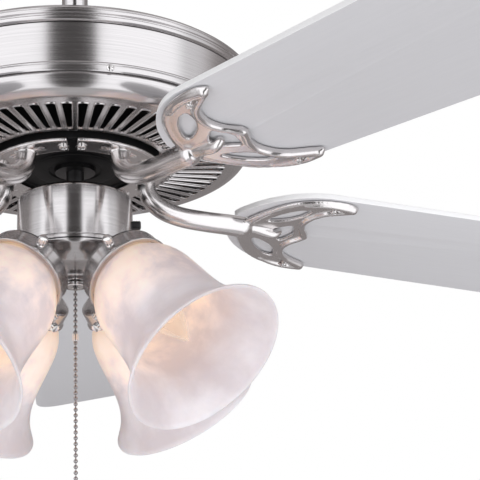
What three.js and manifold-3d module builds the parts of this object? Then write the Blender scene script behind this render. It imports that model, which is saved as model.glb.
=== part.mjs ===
// Five-blade ceiling fan with a four-lamp light kit, hung from a ball hanger.
// Millimetres, +Z up. The origin is the middle of the hanger bracket's top face,
// which lies against the ceiling, so the whole fan is below z = 0.
import * as THREE from 'three';
import { mergeVertices } from 'three/addons/utils/BufferGeometryUtils.js';
import Module from 'manifold-3d';

const wasm = await Module();
wasm.setup();

// ---------------------------------------------------------------- dimensions
const GAP = 0.3; // clearance kept between neighbouring pieces

const CANOPY_R = 62;
const CANOPY_BOTTOM = -66;
const SHEET = 1.4; // wall of the pressed steel covers
const BALL_Z = -34;
const BALL_R = 22;
const BALL_BORE = 14;
const SEAT_R = 18; // round seat in the bracket that carries the ball
const SEAT_SLOT = 27; // open slot that lets the rod be hooked in sideways
const BRACKET_HALF = 40;
const CANOPY_SCREW_Z = -12;

const ROD_R = 10.65; // half-inch pipe
const ROD_BORE = 8.2;
const ROD_TOP = -17;
const ROD_BOTTOM = -146;
const PIN_R = 2.5;
const CLEVIS_Z = -136; // pin that ties the rod into the yoke
const SHAFT_R = 7;
const SHAFT_BORE = 4.6;

const RIM_Z = -176; // top edge of the motor housing
const RIM_R = 146.8;
const BAND_TOP = -186.8;
const SEAM_Z = -223.6; // where the band meets the vented pan
const SEAM_R = 140.6;
const BEAD_SCREW_Z = -220.6;
const PAN_Z = -240; // flat underside of the vented pan
const PAN_HOLE_R = 73.2;
const SLOTS = 64;
const SLOT_IN = 79;
const SLOT_OUT = 120;

const ROTOR_R = 67;
const ROTOR_TOP = -178;
const ROTOR_BOTTOM = -243.2;
const FOOT_IN = 49;
const FOOT_OUT = 70.6;
const FOOT_T = 3;
const FOOT_HALF_ANGLE = 33; // degrees each side of the arm
const FOOT_SCREW_ANGLE = 29.5;
const FOOT_SCREW_R = 59.5;

const BLADES = 5;
const FIRST_AZIMUTH = -55.8;
const BLADE_PITCH = 9; // degrees
const BLADE_DROOP = 2.65; // degrees below level, outwards
const DROOP_R = 141; // radius where the leaf leaves its arm
const LEAF_Z = -276.6; // underside of the leaf at that radius, on the blade's centre line
const LEAF_T = 3.4;
const BLADE_T = 5;
const BLADE_TIP = 660; // 52 inch sweep
const ARM_R = 7.6;

const CUP_R = 45;
const CUP_TOP = -267;
const CUP_BOTTOM = -313;
const NOZZLE_BOTTOM = -340;

const LAMPS = 4;
const LAMP_TILT = 43; // degrees between a lamp's axis and straight down
const LAMP_R = 58; // where the fitter's rim is centred
const LAMP_Z = -344.3;
const FITTER_R = 34.8;
const SHADE_LENGTH = 100;
const SHADE_MOUTH_R = 62.4;

const CHAIN_D = 3.2;
const CHAIN_BORE = 2.6;
const CHAIN_TOP = -322; // the chain's upper end, inside the light body
const CHAIN_BOTTOM = -514;

// ---------------------------------------------------------------- materials
function paint(color, roughness, metalness, extra = {}) {
  return new THREE.MeshStandardMaterial({ color, roughness, metalness, ...extra });
}

const nickel = paint(0xb9b4b2, 0.32, 1);
const steel = paint(0x9c9c9e, 0.45, 1);
const blackIron = paint(0x151516, 0.5, 0.6);
const rubber = paint(0x1b1b1c, 0.85, 0);
const blackPlastic = paint(0x121213, 0.4, 0);
const copper = paint(0x8a4a26, 0.4, 1);
const whitePlastic = paint(0xe6e2da, 0.5, 0);
const bladeBoard = paint(0xd3d3d8, 0.5, 0);
const alabaster = paint(0xefdcd4, 0.35, 0);
const clearGlass = paint(0xfff2df, 0.05, 0, { transparent: true, opacity: 0.5 });

// ---------------------------------------------------------------- geometry helpers
const rad = THREE.MathUtils.degToRad;

/** Volume enclosed by an indexed triangle mesh, negative when it is inside out. */
function signedVolume(position, index) {
  const a = new THREE.Vector3();
  const b = new THREE.Vector3();
  const c = new THREE.Vector3();
  let sum = 0;
  for (let i = 0; i < index.length; i += 3) {
    a.fromBufferAttribute(position, index[i]);
    b.fromBufferAttribute(position, index[i + 1]);
    c.fromBufferAttribute(position, index[i + 2]);
    sum += a.dot(b.cross(c));
  }
  return sum / 6;
}

/** One closed mesh with shared corners, no slivers and its faces pointing out. */
function weld(geometry) {
  const bare = geometry.index ? geometry.toNonIndexed() : geometry.clone();
  bare.deleteAttribute('normal');
  bare.deleteAttribute('uv');
  const merged = mergeVertices(bare, 1e-4);
  const all = merged.index.array;
  const kept = [];
  for (let i = 0; i < all.length; i += 3) {
    const [p, q, r] = [all[i], all[i + 1], all[i + 2]];
    if (p !== q && q !== r && r !== p) kept.push(p, q, r);
  }
  if (signedVolume(merged.attributes.position, kept) < 0) {
    for (let i = 0; i < kept.length; i += 3) {
      [kept[i], kept[i + 1]] = [kept[i + 1], kept[i]];
    }
  }
  merged.setIndex(kept);
  return merged;
}

/** The same body as a manifold, ready to be joined or cut. */
function body(geometry) {
  const g = weld(geometry);
  return new wasm.Manifold(new wasm.Mesh({
    numProp: 3,
    vertProperties: new Float32Array(g.attributes.position.array),
    triVerts: new Uint32Array(g.index.array),
  }));
}

/** A manifold back as three.js geometry. */
function shapeOf(manifold) {
  const mesh = manifold.getMesh();
  const g = new THREE.BufferGeometry();
  g.setAttribute('position', new THREE.BufferAttribute(new Float32Array(mesh.vertProperties), 3));
  g.setIndex(Array.from(mesh.triVerts));
  return weld(g);
}

function join(...parts) {
  return shapeOf(parts.map(body).reduce((sum, part) => sum.add(part)));
}

function cut(base, ...tools) {
  return shapeOf(tools.map(body).reduce((rest, tool) => rest.subtract(tool), body(base)));
}

/** Body of revolution about Z. A profile of [radius, z] pairs that closes on itself. */
function revolve(profile, segments = 32) {
  const points = profile.map(([r, z]) => new THREE.Vector2(r, z));
  if (profile[0][0] > 0) points.push(points[0].clone());
  return new THREE.LatheGeometry(points, segments).rotateX(Math.PI / 2);
}

function disc(radius, bottom, top, segments = 24) {
  return revolve([[0, bottom], [radius, bottom], [radius, top], [0, top]], segments);
}

function ring(inner, outer, bottom, top, segments = 24) {
  return revolve([[inner, bottom], [outer, bottom], [outer, top], [inner, top]], segments);
}

/** Thin shell below or inside an outer profile that runs from the top down. */
function shell(outer, inner, segments = 32) {
  return revolve([...outer, ...inner.slice().reverse()], segments);
}

function box(sx, sy, sz, x, y, z) {
  return new THREE.BoxGeometry(sx, sy, sz).translate(x, y, z);
}

/** Round bar from one point to another. */
function bar(radius, from, to, segments = 10) {
  const a = new THREE.Vector3(...from);
  const b = new THREE.Vector3(...to);
  const along = b.clone().sub(a);
  const g = new THREE.CylinderGeometry(radius, radius, along.length(), segments);
  const turn = new THREE.Quaternion().setFromUnitVectors(
    new THREE.Vector3(0, 1, 0), along.clone().normalize());
  return g.applyQuaternion(turn).translate(...a.add(b).multiplyScalar(0.5).toArray());
}

/** Round tube swept along a smooth path. */
function sweep(points, radius, steps, sides = 8) {
  const path = new THREE.CatmullRomCurve3(points.map((p) => new THREE.Vector3(...p)));
  const section = new THREE.Shape(new THREE.Path().absarc(0, 0, radius, 0, 2 * Math.PI).getPoints(sides / 2));
  return new THREE.ExtrudeGeometry(section, { steps, extrudePath: path });
}

/** Flat outline of [x, y] pairs, with holes, made solid from z = low to z = high. */
function plate(outline, holes, low, high) {
  const points = outline.map(([x, y]) => new THREE.Vector2(x, y));
  if (THREE.ShapeUtils.isClockWise(points)) points.reverse();
  const shape = new THREE.Shape(points);
  shape.holes = holes.map((hole) => new THREE.Path(hole.map(([x, y]) => new THREE.Vector2(x, y))));
  return new THREE.ExtrudeGeometry(shape, { depth: high - low, bevelEnabled: false }).translate(0, 0, low);
}

function turned(geometry, degrees) {
  return geometry.rotateZ(rad(degrees));
}

// ---------------------------------------------------------------- scene helpers
const fan = new THREE.Group();

function add(parent, name, geometry, material) {
  const mesh = new THREE.Mesh(weld(geometry), material);
  mesh.name = name;
  parent.add(mesh);
  return mesh;
}

// ---------------------------------------------------------------- ceiling hanger
function hangerBracket() {
  const seatTop = BALL_Z - Math.sqrt(BALL_R ** 2 - SEAT_R ** 2) - GAP;
  const legBottom = seatTop - 3;
  const legHeight = -legBottom - 1;
  const strap = join(
    box(2 * BRACKET_HALF, 50, 2.5, 0, 0, -1.25),
    box(22, 108, 2.5, 0, 0, -1.25),
    box(20, 2.5, 18, 0, 52.7, -9),
    box(20, 2.5, 18, 0, -52.7, -9),
    box(2.5, 40, legHeight, BRACKET_HALF - 1.25, 0, -1 - legHeight / 2),
    box(2.5, 40, legHeight, 1.25 - BRACKET_HALF, 0, -1 - legHeight / 2),
    box(2 * BRACKET_HALF, 42, 3, 0, 0, seatTop - 1.5),
  );
  const seat = disc(SEAT_R, legBottom - 1, seatTop + 1, 32);
  const slot = box(SEAT_SLOT, 30, 8, 0, 17, seatTop - 1.5);
  const wireHole = disc(7, -4, 1, 20).translate(24, 0, 0);
  const screwHole = bar(2.3, [0, -60, CANOPY_SCREW_Z], [0, 60, CANOPY_SCREW_Z]);
  const boxSlot = box(5, 14, 6, -29, 0, -1.25);
  return cut(strap, seat, slot, wireHole, screwHole, boxSlot);
}

function canopy() {
  const r = CANOPY_R;
  const low = CANOPY_BOTTOM;
  const outer = [[r, -1], [r, -26], [r - 3, -40], [r - 8, -50], [r - 18, -59], [r - 33, low + 2], [20, low]];
  const t = SHEET;
  const inner = [[r - t, -1], [r - t, -26], [r - 3 - t, -39.6], [r - 9.2, -49], [r - 18.8, -57.7],
    [r - 33.4, low + 2 + t], [20, low + t]];
  const hole = bar(2.4, [0, -70, CANOPY_SCREW_Z], [0, 70, CANOPY_SCREW_Z]);
  return cut(shell(outer, inner, 24), hole);
}

function canopyScrew(side) {
  const z = CANOPY_SCREW_Z;
  return join(
    bar(1.9, [0, side * 48, z], [0, side * (CANOPY_R + 0.6), z], 8),
    bar(4, [0, side * (CANOPY_R + GAP), z], [0, side * (CANOPY_R + 3.3), z], 10),
  );
}

function hangerBall() {
  const ball = new THREE.SphereGeometry(BALL_R, 20, 12).rotateX(Math.PI / 2).translate(0, 0, BALL_Z);
  const bore = disc(BALL_BORE, BALL_Z - 30, BALL_Z + 30, 20);
  const crown = box(60, 60, 20, 0, 0, BALL_Z + 16 + 10);
  const pinHole = bar(PIN_R + GAP, [0, -30, BALL_Z], [0, 30, BALL_Z]);
  return cut(ball, bore, crown, pinHole);
}

const ceiling = new THREE.Group();
fan.add(ceiling);
add(ceiling, 'hanger_bracket', hangerBracket(), steel);
add(ceiling, 'canopy', canopy(), nickel);
add(ceiling, 'canopy_screw_1', canopyScrew(1), nickel);
add(ceiling, 'canopy_screw_2', canopyScrew(-1), nickel);
add(ceiling, 'hanger_ball', hangerBall(), rubber);
add(ceiling, 'ball_pin', bar(PIN_R, [0, -20.5, BALL_Z], [0, 20.5, BALL_Z]), steel);

// ---------------------------------------------------------------- rod and yoke
const YOKE_TOP = -126;
const YOKE_FLOOR = ROD_BOTTOM - GAP;
const COVER_TOP_Z = -153; // flat middle of the housing's top cover

function downrod() {
  const tube = ring(ROD_BORE, ROD_R, ROD_BOTTOM, ROD_TOP, 20);
  const pinHole = bar(PIN_R + GAP, [0, -20, BALL_Z], [0, 20, BALL_Z]);
  const clevisHole = bar(PIN_R + GAP, [0, -20, CLEVIS_Z], [0, 20, CLEVIS_Z]);
  return cut(tube, pinHole, clevisHole);
}

function yoke() {
  const cup = revolve([
    [SHAFT_R + GAP, COVER_TOP_Z + GAP], [24, COVER_TOP_Z + GAP], [24, -149], [15.5, -147.5], [15.5, YOKE_TOP],
    [ROD_R + GAP, YOKE_TOP], [ROD_R + GAP, YOKE_FLOOR], [SHAFT_R + GAP, YOKE_FLOOR],
  ], 20);
  return cut(cup, bar(PIN_R + GAP, [0, -30, CLEVIS_Z], [0, 30, CLEVIS_Z]));
}

function clevisPin() {
  return join(
    bar(PIN_R, [0, -19, CLEVIS_Z], [0, 17.6, CLEVIS_Z]),
    bar(4.5, [0, 15.8, CLEVIS_Z], [0, 18, CLEVIS_Z]),
  );
}

function couplingCover() {
  const outer = [[ROD_R + 0.6, -118], [19, -119.5], [25, -127], [28, -140], [29, COVER_TOP_Z + GAP]];
  const inner = [
    [ROD_R + 0.6, -119.2], [18.6, -120.7], [23.9, -127.6], [26.8, -140.2], [27.8, COVER_TOP_Z + GAP],
  ];
  return shell(outer, inner, 24);
}

add(fan, 'downrod', downrod(), nickel);
add(fan, 'yoke', yoke(), steel);
add(fan, 'clevis_pin', clevisPin(), steel);
add(fan, 'coupling_cover', couplingCover(), nickel);
add(fan, 'motor_shaft', ring(SHAFT_BORE, SHAFT_R, CUP_TOP - 6, YOKE_FLOOR - 1, 16), steel);

// ---------------------------------------------------------------- motor housing
function housingTop() {
  const outer = [
    [SHAFT_R + GAP, COVER_TOP_Z], [34, COVER_TOP_Z], [110, -164.5], [143, -173.4],
    [RIM_R, RIM_Z], [RIM_R, RIM_Z - 2.4], [145.9, RIM_Z - 4], [145.4, BAND_TOP + GAP],
  ];
  const inner = [
    [SHAFT_R + GAP, COVER_TOP_Z - SHEET], [34, COVER_TOP_Z - SHEET], [110, -166], [141.6, -174.6],
    [143.6, -177.6], [143.4, BAND_TOP + GAP],
  ];
  return shell(outer, inner);
}

function housingBand() {
  const outer = [
    [144, BAND_TOP], [140.6, -216.6], [142.4, -218.4], [142.4, SEAM_Z + GAP / 2],
  ];
  const inner = [[142.6, BAND_TOP], [139.2, -217], [139.2, SEAM_Z + GAP / 2]];
  return shell(outer, inner);
}

/** Tapered vent slot, wide end outward, lying along +X. */
function slotTool() {
  const corners = [[SLOT_IN, -1.9], [SLOT_OUT, -3.6], [SLOT_OUT, 3.6], [SLOT_IN, 1.9]];
  return plate(corners, [], PAN_Z - 4, PAN_Z + 6);
}

function housingPan() {
  const outer = [
    [SEAM_R, SEAM_Z - GAP / 2], [140, -229], [137, -234.6], [130, -238], [PAN_HOLE_R, PAN_Z],
  ];
  const inner = [
    [139.2, SEAM_Z - GAP / 2], [138.6, -228.6], [135.8, -233.8], [129.6, -236.6], [PAN_HOLE_R, PAN_Z + SHEET],
  ];
  const tools = [];
  for (let k = 0; k < SLOTS; k += 1) {
    tools.push(turned(slotTool(), (360 / SLOTS) * (k + 0.5)));
  }
  return cut(shell(outer, inner), ...tools);
}

function housingScrew(degrees) {
  const head = join(
    bar(2.6, [143, 0, BEAD_SCREW_Z], [144.6, 0, BEAD_SCREW_Z], 8),
    bar(1.4, [136, 0, BEAD_SCREW_Z], [143.2, 0, BEAD_SCREW_Z], 6),
  );
  return turned(head, degrees);
}

const SCREW_AZIMUTHS = [-80, 40, 160];
const bandWithHoles = cut(housingBand(), ...SCREW_AZIMUTHS.map(
  (a) => turned(bar(1.7, [130, 0, BEAD_SCREW_Z], [150, 0, BEAD_SCREW_Z], 6), a)));
add(fan, 'housing_top', housingTop(), nickel);
add(fan, 'housing_band', bandWithHoles, nickel);
add(fan, 'housing_pan', housingPan(), nickel);
SCREW_AZIMUTHS.forEach((a, i) => add(fan, `housing_screw_${i + 1}`, housingScrew(a), nickel));

// ---------------------------------------------------------------- stator
add(fan, 'stator_core', ring(SHAFT_R + GAP, 58, -224, -198), steel);
add(fan, 'winding_upper', ring(20, 52, -198 + GAP, -188), copper);
add(fan, 'winding_lower', ring(20, 52, -234, -224 - GAP), copper);

// ---------------------------------------------------------------- rotor
const rotor = new THREE.Group();
fan.add(rotor);

function rotorShell() {
  const t = 3;
  const hub = 16.3;
  const r = ROTOR_R;
  return revolve([
    [hub, ROTOR_TOP], [r - 4, ROTOR_TOP], [r, ROTOR_TOP - 4], [r, ROTOR_BOTTOM], [hub, ROTOR_BOTTOM],
    [hub, ROTOR_BOTTOM + t], [r - t, ROTOR_BOTTOM + t], [r - t, ROTOR_TOP - 5], [r - 6, ROTOR_TOP - t],
    [hub, ROTOR_TOP - t],
  ]);
}

add(rotor, 'rotor_shell', rotorShell(), blackIron);
add(rotor, 'bearing_upper', ring(SHAFT_R + GAP, 16, ROTOR_TOP - 5, ROTOR_TOP + 2, 16), steel);
add(rotor, 'bearing_lower', ring(SHAFT_R + GAP, 16, ROTOR_BOTTOM - 2, ROTOR_BOTTOM + 5, 16), steel);

// ---------------------------------------------------------------- blades and irons
/** Curved foot that is screwed under the rotor, lying along +X. */
function ironFoot() {
  const edge = [];
  const steps = 6;
  for (let i = 0; i <= steps; i += 1) {
    const a = rad(FOOT_HALF_ANGLE * (1 - (2 * i) / steps));
    edge.push([FOOT_OUT * Math.cos(a), FOOT_OUT * Math.sin(a)]);
  }
  for (let i = 0; i <= steps; i += 1) {
    const a = rad(FOOT_HALF_ANGLE * ((2 * i) / steps - 1));
    edge.push([FOOT_IN * Math.cos(a), FOOT_IN * Math.sin(a)]);
  }
  const top = ROTOR_BOTTOM - GAP;
  const foot = plate(edge, [], top - FOOT_T, top);
  const holes = [-FOOT_SCREW_ANGLE, FOOT_SCREW_ANGLE].map((a) => turned(
    disc(2.2, top - FOOT_T - 2, top + 1, 6).translate(FOOT_SCREW_R, 0, 0), a));
  return cut(foot, ...holes);
}

/** Half of the leaf's outline from the neck out to the horn and back to the middle. */
const LEAF_HALF = [
  [143, 4.5], [151, 9], [155, 22], [162.5, 33], [174.6, 43], [188.8, 50], [203, 54],
  [215, 54], [222.4, 49], [209, 40], [199, 34], [191.5, 23], [191, 14], [197.4, 3.6],
];
const SIDE_WINDOW = [[191, 43], [189, 32], [178, 27], [167.5, 21.5], [165.5, 25], [172, 34], [181, 41.5]];
const MIDDLE_WINDOW = [[171.5, 0], [177, 8], [185, 13.5], [188, 7.5], [191.5, 0], [188, -7.5], [185, -13.5],
  [177, -8]];
const BLADE_HOLES = [[203.8, 49.5], [203.8, -49.5], [154.5, 0]];

function mirrored(points) {
  return points.map(([x, y]) => [x, -y]).reverse();
}

/** Puts a flat piece that lies along +X at the blades' pitch and droop. */
function atBladeAngle(geometry) {
  return geometry.rotateX(-rad(BLADE_PITCH)).translate(-DROOP_R, 0, 0)
    .rotateY(rad(BLADE_DROOP)).translate(DROOP_R, 0, LEAF_Z);
}

function ironLeaf() {
  const outline = [...LEAF_HALF, ...mirrored(LEAF_HALF)];
  const windows = [SIDE_WINDOW, mirrored(SIDE_WINDOW), MIDDLE_WINDOW];
  const leaf = plate(outline, windows, 0, LEAF_T);
  const screwHoles = BLADE_HOLES.map(([x, y]) => disc(1.8, -2, 6, 6).translate(x, y, 0));
  return atBladeAngle(cut(leaf, ...screwHoles));
}

function ironArm() {
  const points = [
    [59.4, 0, -244.4], [60.2, 0, -253.5], [64.6, 0, -262.4], [75, 0, -269.4], [91, 0, -273.6],
    [111, 0, -275], [130, 0, -275.6], [141, 0, -276],
  ];
  const knob = new THREE.SphereGeometry(ARM_R, 8, 6).translate(141, 0, -276);
  return join(sweep(points, ARM_R, 11), knob);
}

function bladeIron() {
  return join(ironFoot(), ironArm(), ironLeaf());
}

/** Half-width of the blade at each radius: round root, straight taper, rounded tip. */
const BLADE_HALF = [
  [133, 10], [134, 16], [139, 27], [146, 35], [156, 43.5], [168, 50.5], [180, 55], [192, 57],
  [400, 62], [632, 68], [645, 66], [654, 59], [658.6, 48], [BLADE_TIP, 34],
];

function blade() {
  const notch = [[151, -10], [151, 10]];
  const outline = [...notch, ...BLADE_HALF, ...mirrored(BLADE_HALF)];
  const low = LEAF_T + GAP;
  return atBladeAngle(plate(outline, [], low, low + BLADE_T));
}

for (let i = 0; i < BLADES; i += 1) {
  const place = new THREE.Group();
  place.rotation.z = rad(FIRST_AZIMUTH + (360 / BLADES) * i);
  rotor.add(place);
  add(place, `blade_iron_${i + 1}`, bladeIron(), nickel);
  add(place, `blade_${i + 1}`, blade(), bladeBoard);
}

// ---------------------------------------------------------------- switch housing
function switchCup() {
  const r = CUP_R;
  const t = SHEET;
  const outer = [[r - 9, CUP_TOP], [r - 3, CUP_TOP - 1], [r, CUP_TOP - 4], [r, CUP_BOTTOM]];
  const inner = [[r - 9, CUP_TOP - t], [r - 3.6, CUP_TOP - 2.4], [r - t, CUP_TOP - 5], [r - t, CUP_BOTTOM]];
  const switchSlot = box(10, 8, 13, r, 0, -292);
  return cut(shell(outer, inner, 36), switchSlot);
}

add(fan, 'switch_cup', switchCup(), nickel);
add(fan, 'cup_plate', ring(SHAFT_R + GAP, CUP_R - SHEET - GAP, CUP_TOP - 8.5, CUP_TOP - 6.3, 28), steel);
add(fan, 'capacitor', box(34, 14, 24, 0, -20, -292), blackPlastic);
add(fan, 'reverse_switch', box(8, 16, 20, 37.6, 0, -292), blackPlastic);
add(fan, 'reverse_knob', box(8.4, 5.5, 5.5, 47.4, 0, -289.2), blackPlastic);
add(fan, 'pull_switch', box(20, 20, 16, 0, 6, -294), blackPlastic);

// ---------------------------------------------------------------- light kit
/** Bowl under the switch housing that carries the lamps, larger all round by grow. */
function lightBody(grow = 0) {
  const r = CUP_R + grow;
  return revolve([
    [CHAIN_BORE, CUP_BOTTOM - GAP], [r - 0.4, CUP_BOTTOM - GAP], [r - 1.6, CUP_BOTTOM - 3 - grow],
    [r - 8, CUP_BOTTOM - 9 - grow], [r - 17, -327 - grow], [r - 28, -332 - grow],
    [12 + grow, -336], [CHAIN_BORE, -336],
  ], 24);
}

/** Frame of one lamp: +Z runs out along the shade, from the middle of the fitter's rim. */
function lampFrame(index) {
  const around = new THREE.Group();
  around.rotation.z = rad(45 + (360 / LAMPS) * index);
  const lean = new THREE.Group();
  lean.position.set(LAMP_R, 0, LAMP_Z);
  lean.rotation.y = Math.PI - rad(LAMP_TILT);
  around.add(lean);
  fan.add(around);
  return lean;
}

function fitter() {
  const cupWall = revolve([
    [0, -19], [28, -19], [32.4, -14], [33.4, -3], [FITTER_R, -2.4], [FITTER_R, 0],
    [31.4, 0], [30.8, -13], [27.6, -17], [0, -17],
  ], 20);
  const screws = [0, 120, 240].map((a) => turned(bar(3.2, [32, 0, -7], [43.8, 0, -7], 6), a));
  const neck = disc(9, -28, -18, 10);
  return join(cupWall, neck, ...screws);
}

/** Cuts a fitter's neck to sit against the light body. */
function fittedTo(base, geometry, frame) {
  frame.updateWorldMatrix(true, false);
  const local = frame.matrixWorld.clone().invert();
  return cut(geometry, base.clone().applyMatrix4(local));
}

function lampSocket() {
  return revolve([
    [0, -17 + GAP], [14.5, -17 + GAP], [14.5, 6], [13.5, 10], [7.4, 10], [7.4, -8], [0, -8],
  ], 14);
}

function lampBulb() {
  return revolve([
    [0, -7.6], [6.6, -4], [6.8, 11], [14, 22], [16, 31], [15.6, 40], [13, 52], [6.6, 69], [0, 79],
  ], 12);
}

function shade() {
  const outer = [
    [29, -11], [29, -2], [35.6, 8], [40.6, 23], [42.6, 52], [47.6, 77], [SHADE_MOUTH_R, SHADE_LENGTH],
  ];
  const inner = [
    [26.4, -11], [26.4, -1], [33, 9.4], [38, 24], [40, 52.4], [45, 78.4], [60.6, SHADE_LENGTH + 1.6],
  ];
  return shell(outer, inner, 18);
}

const lampClearance = lightBody(GAP);
add(fan, 'light_body', lightBody(), nickel);
add(fan, 'chain_nozzle', ring(CHAIN_BORE, 9, NOZZLE_BOTTOM, -336 - GAP, 20), nickel);
for (let i = 0; i < LAMPS; i += 1) {
  const lamp = lampFrame(i);
  add(lamp, `fitter_${i + 1}`, fittedTo(lampClearance, fitter(), lamp), nickel);
  add(lamp, `socket_${i + 1}`, lampSocket(), whitePlastic);
  add(lamp, `bulb_${i + 1}`, lampBulb(), clearGlass);
  add(lamp, `shade_${i + 1}`, shade(), alabaster);
}

// ---------------------------------------------------------------- pull chain
function pullChain() {
  const points = [];
  for (let i = 0; i <= 8; i += 1) points.push([0, 0, CHAIN_TOP + ((CHAIN_BOTTOM - CHAIN_TOP) * i) / 8]);
  return sweep(points, CHAIN_D / 2, 22, 8);
}

function chainPendant() {
  const top = CHAIN_BOTTOM - GAP;
  return revolve([
    [0, top - 27], [4, top - 26], [6.4, top - 21], [6.4, top - 16], [4, top - 9], [2.6, top - 3], [2.2, top],
    [0, top],
  ], 12);
}

add(fan, 'pull_chain', pullChain(), nickel);
add(fan, 'chain_pendant', chainPendant(), nickel);

export default fan;
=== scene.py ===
"""Looks of a brushed-nickel ceiling fan with four alabaster shades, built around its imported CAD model.

Lengths in the shape functions are millimetres. They become metres when a piece is made.
"""

import math

import bmesh
import bpy
from mathutils import Matrix, Vector


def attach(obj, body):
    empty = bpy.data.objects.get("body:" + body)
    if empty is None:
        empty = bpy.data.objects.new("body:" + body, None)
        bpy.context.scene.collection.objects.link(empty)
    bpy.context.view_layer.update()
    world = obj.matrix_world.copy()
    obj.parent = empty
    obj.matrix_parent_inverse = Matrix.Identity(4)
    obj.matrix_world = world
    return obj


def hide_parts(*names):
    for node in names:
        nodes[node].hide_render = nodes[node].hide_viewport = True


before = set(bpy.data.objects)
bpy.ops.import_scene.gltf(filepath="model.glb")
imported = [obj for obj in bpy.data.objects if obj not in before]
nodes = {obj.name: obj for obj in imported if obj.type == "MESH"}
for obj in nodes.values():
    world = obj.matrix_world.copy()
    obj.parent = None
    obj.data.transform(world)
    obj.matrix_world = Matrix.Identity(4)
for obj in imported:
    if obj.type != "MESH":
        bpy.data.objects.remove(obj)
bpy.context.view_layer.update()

MM = 0.001

# ---------------------------------------------------------------- dimensions shared with the CAD model
CANOPY_R, CANOPY_BOTTOM, CANOPY_SCREW_Z = 62, -66, -12
BALL_Z, BALL_R, BALL_BORE = -34, 22, 14
ROD_R, ROD_BORE, ROD_TOP, ROD_BOTTOM = 10.65, 8.2, -17, -146
SHAFT_R, SHAFT_BORE = 7, 4.6
COVER_TOP_Z = -153
RIM_Z, RIM_R, BAND_TOP, SEAM_Z, SEAM_R = -176, 146.8, -186.8, -223.6, 140.6
PAN_Z, PAN_HOLE_R, SLOTS, SLOT_IN, SLOT_OUT = -240, 73.2, 64, 79, 120
ROTOR_R, ROTOR_TOP, ROTOR_BOTTOM = 67, -178, -243.2
FOOT_IN, FOOT_OUT, FOOT_T, FOOT_HALF_ANGLE = 49, 70.6, 3, 33
FOOT_SCREW_ANGLE, FOOT_SCREW_R = 29.5, 59.5
BLADES, FIRST_AZIMUTH, BLADE_PITCH, BLADE_DROOP, DROOP_R = 5, -55.8, 9, 2.65, 141
LEAF_Z, LEAF_T, BLADE_T, BLADE_TIP, ARM_R = -276.6, 3.4, 5, 660, 7.6
CUP_R, CUP_TOP, CUP_BOTTOM, NOZZLE_BOTTOM = 45, -267, -313, -340
LAMPS, LAMP_TILT, LAMP_R, LAMP_Z = 4, 43, 58, -344.3
FITTER_R, SHADE_LENGTH, SHADE_MOUTH_R = 34.8, 100, 62.4
CHAIN_D, CHAIN_TOP, CHAIN_BOTTOM = 3.2, -322, -514
SHEET = 1.4
GAP = 0.3

# ---------------------------------------------------------------- camera
CAMERA_PLACE = (0, -0.9426, -0.6149)
CAMERA_LENS = 94.42
CAMERA_YAW, CAMERA_PITCH, CAMERA_ROLL = 7.85, 18.24, -2.58


def make_camera():
    yaw, pitch, roll = map(math.radians, (CAMERA_YAW, CAMERA_PITCH, CAMERA_ROLL))
    forward = Vector((math.sin(yaw) * math.cos(pitch), math.cos(yaw) * math.cos(pitch), math.sin(pitch)))
    level = forward.cross(Vector((0, 0, 1))).normalized()
    upright = level.cross(forward)
    right = math.cos(roll) * level + math.sin(roll) * upright
    up = math.cos(roll) * upright - math.sin(roll) * level
    data = bpy.data.cameras.new("camera")
    data.lens = CAMERA_LENS
    data.sensor_width = 36
    data.clip_start = 0.05
    camera = bpy.data.objects.new("camera", data)
    bpy.context.scene.collection.objects.link(camera)
    turn = Matrix((right, up, -forward)).transposed().to_4x4()
    camera.matrix_world = Matrix.Translation(CAMERA_PLACE) @ turn
    bpy.context.scene.camera = camera


make_camera()


# ---------------------------------------------------------------- shape helpers
# A shape is a pair: a list of points and a list of faces.
def merged(*shapes):
    points, faces = [], []
    for more_points, more_faces in shapes:
        start = len(points)
        points += [Vector(p) for p in more_points]
        faces += [[start + i for i in face] for face in more_faces]
    return points, faces


def moved(shape, matrix):
    return [matrix @ Vector(p) for p in shape[0]], shape[1]


def turned(shape, degrees):
    return moved(shape, Matrix.Rotation(math.radians(degrees), 4, "Z"))


def rounded(points, radius, steps=4, closed=False):
    """An outline whose corners are replaced by curves that start radius before each corner."""
    points = [Vector(p) for p in points]
    count = len(points)
    result = []
    for i, corner in enumerate(points):
        if not closed and i in (0, count - 1):
            result.append(corner)
            continue
        before, after = points[i - 1] - corner, points[(i + 1) % count] - corner
        reach = min(radius, 0.48 * before.length, 0.48 * after.length)
        start, end = corner + before.normalized() * reach, corner + after.normalized() * reach
        for k in range(steps + 1):
            t = k / steps
            result.append((1 - t) ** 2 * start + 2 * t * (1 - t) * corner + t ** 2 * end)
    return result


def through(points, steps=6):
    """A smooth curve through the given points."""
    points = [Vector(p) for p in points]
    ends = [2 * points[0] - points[1], *points, 2 * points[-1] - points[-2]]
    result = []
    for a, b, c, d in zip(ends, ends[1:], ends[2:], ends[3:]):
        for k in range(steps):
            t = k / steps
            result.append(0.5 * (2 * b + (c - a) * t + (2 * a - 5 * b + 4 * c - d) * t ** 2
                                 + (3 * b - a - 3 * c + d) * t ** 3))
    return result + [points[-1]]


def sheet_profile(outline, thickness):
    """Closed profile of a pressed sheet: the outline, then the same line moved sideways by thickness."""
    outline = [Vector(p) for p in outline]
    inner = []
    for i, p in enumerate(outline):
        along = (outline[min(i + 1, len(outline) - 1)] - outline[max(i - 1, 0)]).normalized()
        inner.append(p + Vector((along.y, -along.x)) * thickness)
    return outline + inner[::-1]


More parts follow.
